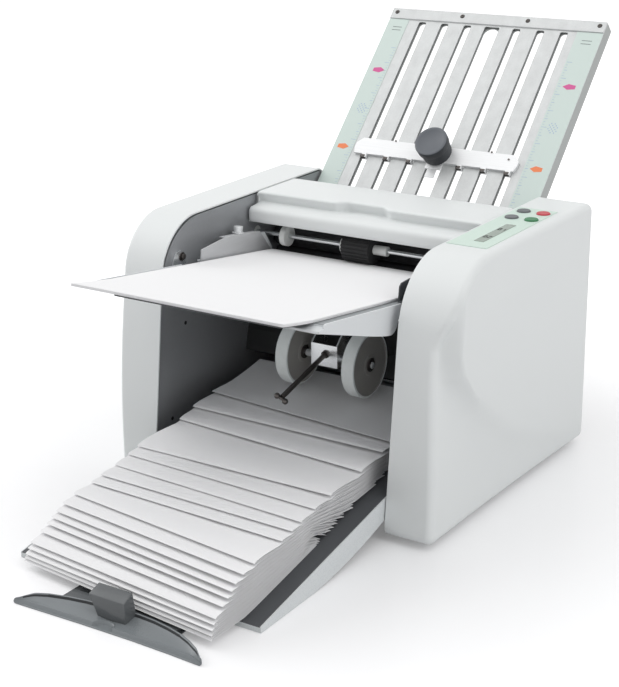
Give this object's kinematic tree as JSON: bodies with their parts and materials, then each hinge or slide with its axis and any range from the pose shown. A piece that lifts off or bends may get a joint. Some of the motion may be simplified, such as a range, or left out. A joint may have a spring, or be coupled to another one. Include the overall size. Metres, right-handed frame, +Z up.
{
  "type": "paper folding machine",
  "caption": "Desk-top paper folding machine: feed table, buckle fold plates with adjustable stop, and sloping delivery tray with wing stop.",
  "frame": {"origin": "on the table top, under the middle of the overall box", "axes": "+X to the operator's right, -Y towards the operator (tray and feed table), +Y towards the upper fold plate, +Z up"},
  "size_m": [0.49, 0.986, 0.548],
  "materials": {
    "cover_plastic": "fine moulded grain, satin",
    "table_plastic": "satin",
    "charcoal_plastic": "satin",
    "black_plastic": "matt",
    "white_nylon": "satin",
    "frame_paint": "smooth powder coat",
    "steel_sheet": "smooth powder coat",
    "charcoal_sheet": "smooth powder coat",
    "motor_steel": "satin",
    "tray_charcoal": "fine grain",
    "bright_steel": "bright",
    "gear_steel": "turned",
    "dark_steel": "blued",
    "brushed_plate": "brushed",
    "mint_print": "printed film",
    "wheel_mint": "smooth",
    "rubber": "matt",
    "roller_rubber": "ground",
    "paper": "matt paper",
    "display_grey": "smooth",
    "board_green": "solder mask",
    "button_grey": "satin",
    "button_green": "satin",
    "button_red": "satin"
  },
  "bodies": {
    "frame": {"base_plate": "steel_sheet", "rubber_feet": "rubber", "left_side_frame": "frame_paint", "right_side_frame": "frame_paint", "tie_bars": "bright_steel", "shaft_bushes": "white_nylon", "left_side_cover": "cover_plastic", "right_side_cover": "cover_plastic", "rear_cover": "steel_sheet", "drive_motor": "motor_steel", "feed_table": "table_plastic", "infeed_plate": "charcoal_sheet", "separator_pad": "rubber", "feed_sheets": "paper", "upper_fold_plate": "brushed_plate", "upper_plate_pan": "brushed_plate", "plate_top_rail": "brushed_plate", "plate_screws": "bright_steel", "ruler_strips": "mint_print", "lower_fold_plate": "steel_sheet", "exit_chute": "charcoal_sheet", "keypad_panel": "mint_print", "display_window": "display_grey", "control_board": "board_green", "power_inlet": "black_plastic"},
    "top_cover": {"top_cover": "cover_plastic"},
    "left_guide": {"left_guide": "table_plastic"},
    "left_guide_screw": {"left_guide_screw": "bright_steel"},
    "right_guide": {"right_guide": "charcoal_plastic"},
    "right_guide_screw": {"right_guide_screw": "bright_steel"},
    "roller_2": {"fold_roller_2": "roller_rubber", "fold_gear_2": "gear_steel"},
    "roller_1": {"fold_roller_1": "roller_rubber", "fold_gear_1": "gear_steel"},
    "roller_3": {"fold_roller_3": "roller_rubber", "fold_gear_3": "gear_steel"},
    "roller_4": {"fold_roller_4": "roller_rubber", "fold_gear_4": "gear_steel"},
    "idler": {"idler_gear": "white_nylon"},
    "feed_shaft": {"feed_shaft": "bright_steel", "feed_roller": "rubber", "feed_collars": "white_nylon", "feed_wheel": "white_nylon", "feed_gear": "white_nylon"},
    "motor_pinion": {"motor_pinion": "gear_steel"},
    "fold_stop": {"fold_stop_bar": "brushed_plate"},
    "fold_knob": {"fold_knob": "charcoal_plastic"},
    "lower_stop": {"lower_fold_stop": "charcoal_plastic"},
    "wheel_carrier": {"wheel_bracket": "bright_steel", "bracket_handle": "dark_steel"},
    "stacker_wheels": {"stacker_wheels": "wheel_mint"},
    "delivery_tray": {"delivery_tray": "cover_plastic", "tray_mat": "tray_charcoal", "folded_sheets": "paper"},
    "wing_stop": {"wing_stop": "charcoal_plastic"},
    "power_switch": {"power_switch": "black_plastic"},
    "minus_button": {"minus_button": "button_grey"},
    "plus_button": {"plus_button": "button_grey"},
    "start_button": {"start_button": "button_green"},
    "stop_button": {"stop_button": "button_red"}
  },
  "joints": [
    {"name": "top_cover_hinge", "type": "hinge", "parent": "frame", "child": "top_cover", "pos_m": [-0.0055, 0.188, 0.327], "axis": [-1, 0, 0], "range_deg": [0, 75]},
    {"name": "left_guide_slide", "type": "slide", "parent": "frame", "child": "left_guide", "axis": [1, 0, 0], "range_m": [-0.005, 0.004]},
    {"name": "left_guide_screw_turn", "type": "hinge", "parent": "left_guide", "child": "left_guide_screw", "pos_m": [-0.167, 0.03603, 0.28741], "axis": [0, 0.1305, 0.9914], "range_deg": [0, 180]},
    {"name": "right_guide_slide", "type": "slide", "parent": "frame", "child": "right_guide", "axis": [-1, 0, 0], "range_m": [-0.005, 0.004]},
    {"name": "right_guide_screw_turn", "type": "hinge", "parent": "right_guide", "child": "right_guide_screw", "pos_m": [0.156, -0.06693, 0.28684], "axis": [0, 0.1305, 0.9914], "range_deg": [0, 180]},
    {"name": "roller_2_spin", "type": "hinge", "parent": "frame", "child": "roller_2", "pos_m": [-0.0055, 0.156, 0.2375], "axis": [1, 0, 0], "continuous": true},
    {"name": "roller_1_spin", "type": "hinge", "parent": "frame", "child": "roller_1", "pos_m": [-0.0055, 0.156, 0.27], "axis": [1, 0, 0], "continuous": true},
    {"name": "roller_3_spin", "type": "hinge", "parent": "frame", "child": "roller_3", "pos_m": [-0.0055, 0.1885, 0.2375], "axis": [1, 0, 0], "continuous": true},
    {"name": "roller_4_spin", "type": "hinge", "parent": "frame", "child": "roller_4", "pos_m": [-0.0055, 0.156, 0.205], "axis": [1, 0, 0], "continuous": true},
    {"name": "idler_spin", "type": "hinge", "parent": "frame", "child": "idler", "pos_m": [-0.192, 0.13592, 0.29556], "axis": [1, 0, 0], "continuous": true},
    {"name": "feed_shaft_spin", "type": "hinge", "parent": "frame", "child": "feed_shaft", "pos_m": [-0.0055, 0.106, 0.28286], "axis": [1, 0, 0], "continuous": true},
    {"name": "motor_spin", "type": "hinge", "parent": "frame", "child": "motor_pinion", "pos_m": [-0.192, 0.156, 0.18063], "axis": [1, 0, 0], "continuous": true},
    {"name": "fold_stop_slide", "type": "slide", "parent": "frame", "child": "fold_stop", "axis": [0, 0.7034, 0.7108], "range_m": [-0.045, 0.205]},
    {"name": "fold_knob_turn", "type": "hinge", "parent": "fold_stop", "child": "fold_knob", "pos_m": [-0.0055, 0.30575, 0.37156], "axis": [0, -0.7108, 0.7034], "range_deg": [0, 180]},
    {"name": "lower_stop_slide", "type": "slide", "parent": "frame", "child": "lower_stop", "axis": [0, 0.4067, -0.9135], "range_m": [-0.022, 0.058]},
    {"name": "wheel_carrier_lift", "type": "hinge", "parent": "frame", "child": "wheel_carrier", "pos_m": [-0.007, 0.052, 0.212], "axis": [-1, 0, 0], "range_deg": [0, 14]},
    {"name": "stacker_wheels_spin", "type": "hinge", "parent": "wheel_carrier", "child": "stacker_wheels", "pos_m": [-0.0047, 0.016, 0.157], "axis": [1, 0, 0], "continuous": true},
    {"name": "tray_pull", "type": "slide", "parent": "frame", "child": "delivery_tray", "axis": [0, -1, 0], "range_m": [0, 0.12]},
    {"name": "wing_stop_slide", "type": "slide", "parent": "delivery_tray", "child": "wing_stop", "axis": [0, -1, 0], "range_m": [0, 0.09]},
    {"name": "power_switch_rock", "type": "hinge", "parent": "frame", "child": "power_switch", "pos_m": [0.202, 0.2705, 0.09], "axis": [1, 0, 0], "range_deg": [0, 12]},
    {"name": "minus_button_press", "type": "slide", "parent": "frame", "child": "minus_button", "axis": [0, 0, -1], "range_m": [0, 0.001], "stiffness_N_per_m": 600},
    {"name": "plus_button_press", "type": "slide", "parent": "frame", "child": "plus_button", "axis": [0, 0, -1], "range_m": [0, 0.001], "stiffness_N_per_m": 600},
    {"name": "start_button_press", "type": "slide", "parent": "frame", "child": "start_button", "axis": [0, 0, -1], "range_m": [0, 0.001], "stiffness_N_per_m": 600},
    {"name": "stop_button_press", "type": "slide", "parent": "frame", "child": "stop_button", "axis": [0, 0, -1], "range_m": [0, 0.001], "stiffness_N_per_m": 600}
  ],
  "couplings": [
    {"joint": "roller_1_spin", "follows": "roller_2_spin", "ratio": -1},
    {"joint": "roller_3_spin", "follows": "roller_2_spin", "ratio": -1},
    {"joint": "roller_4_spin", "follows": "roller_2_spin", "ratio": -1},
    {"joint": "idler_spin", "follows": "roller_2_spin", "ratio": 1},
    {"joint": "feed_shaft_spin", "follows": "roller_2_spin", "ratio": -1},
    {"joint": "motor_spin", "follows": "roller_2_spin", "ratio": 2}
  ]
}
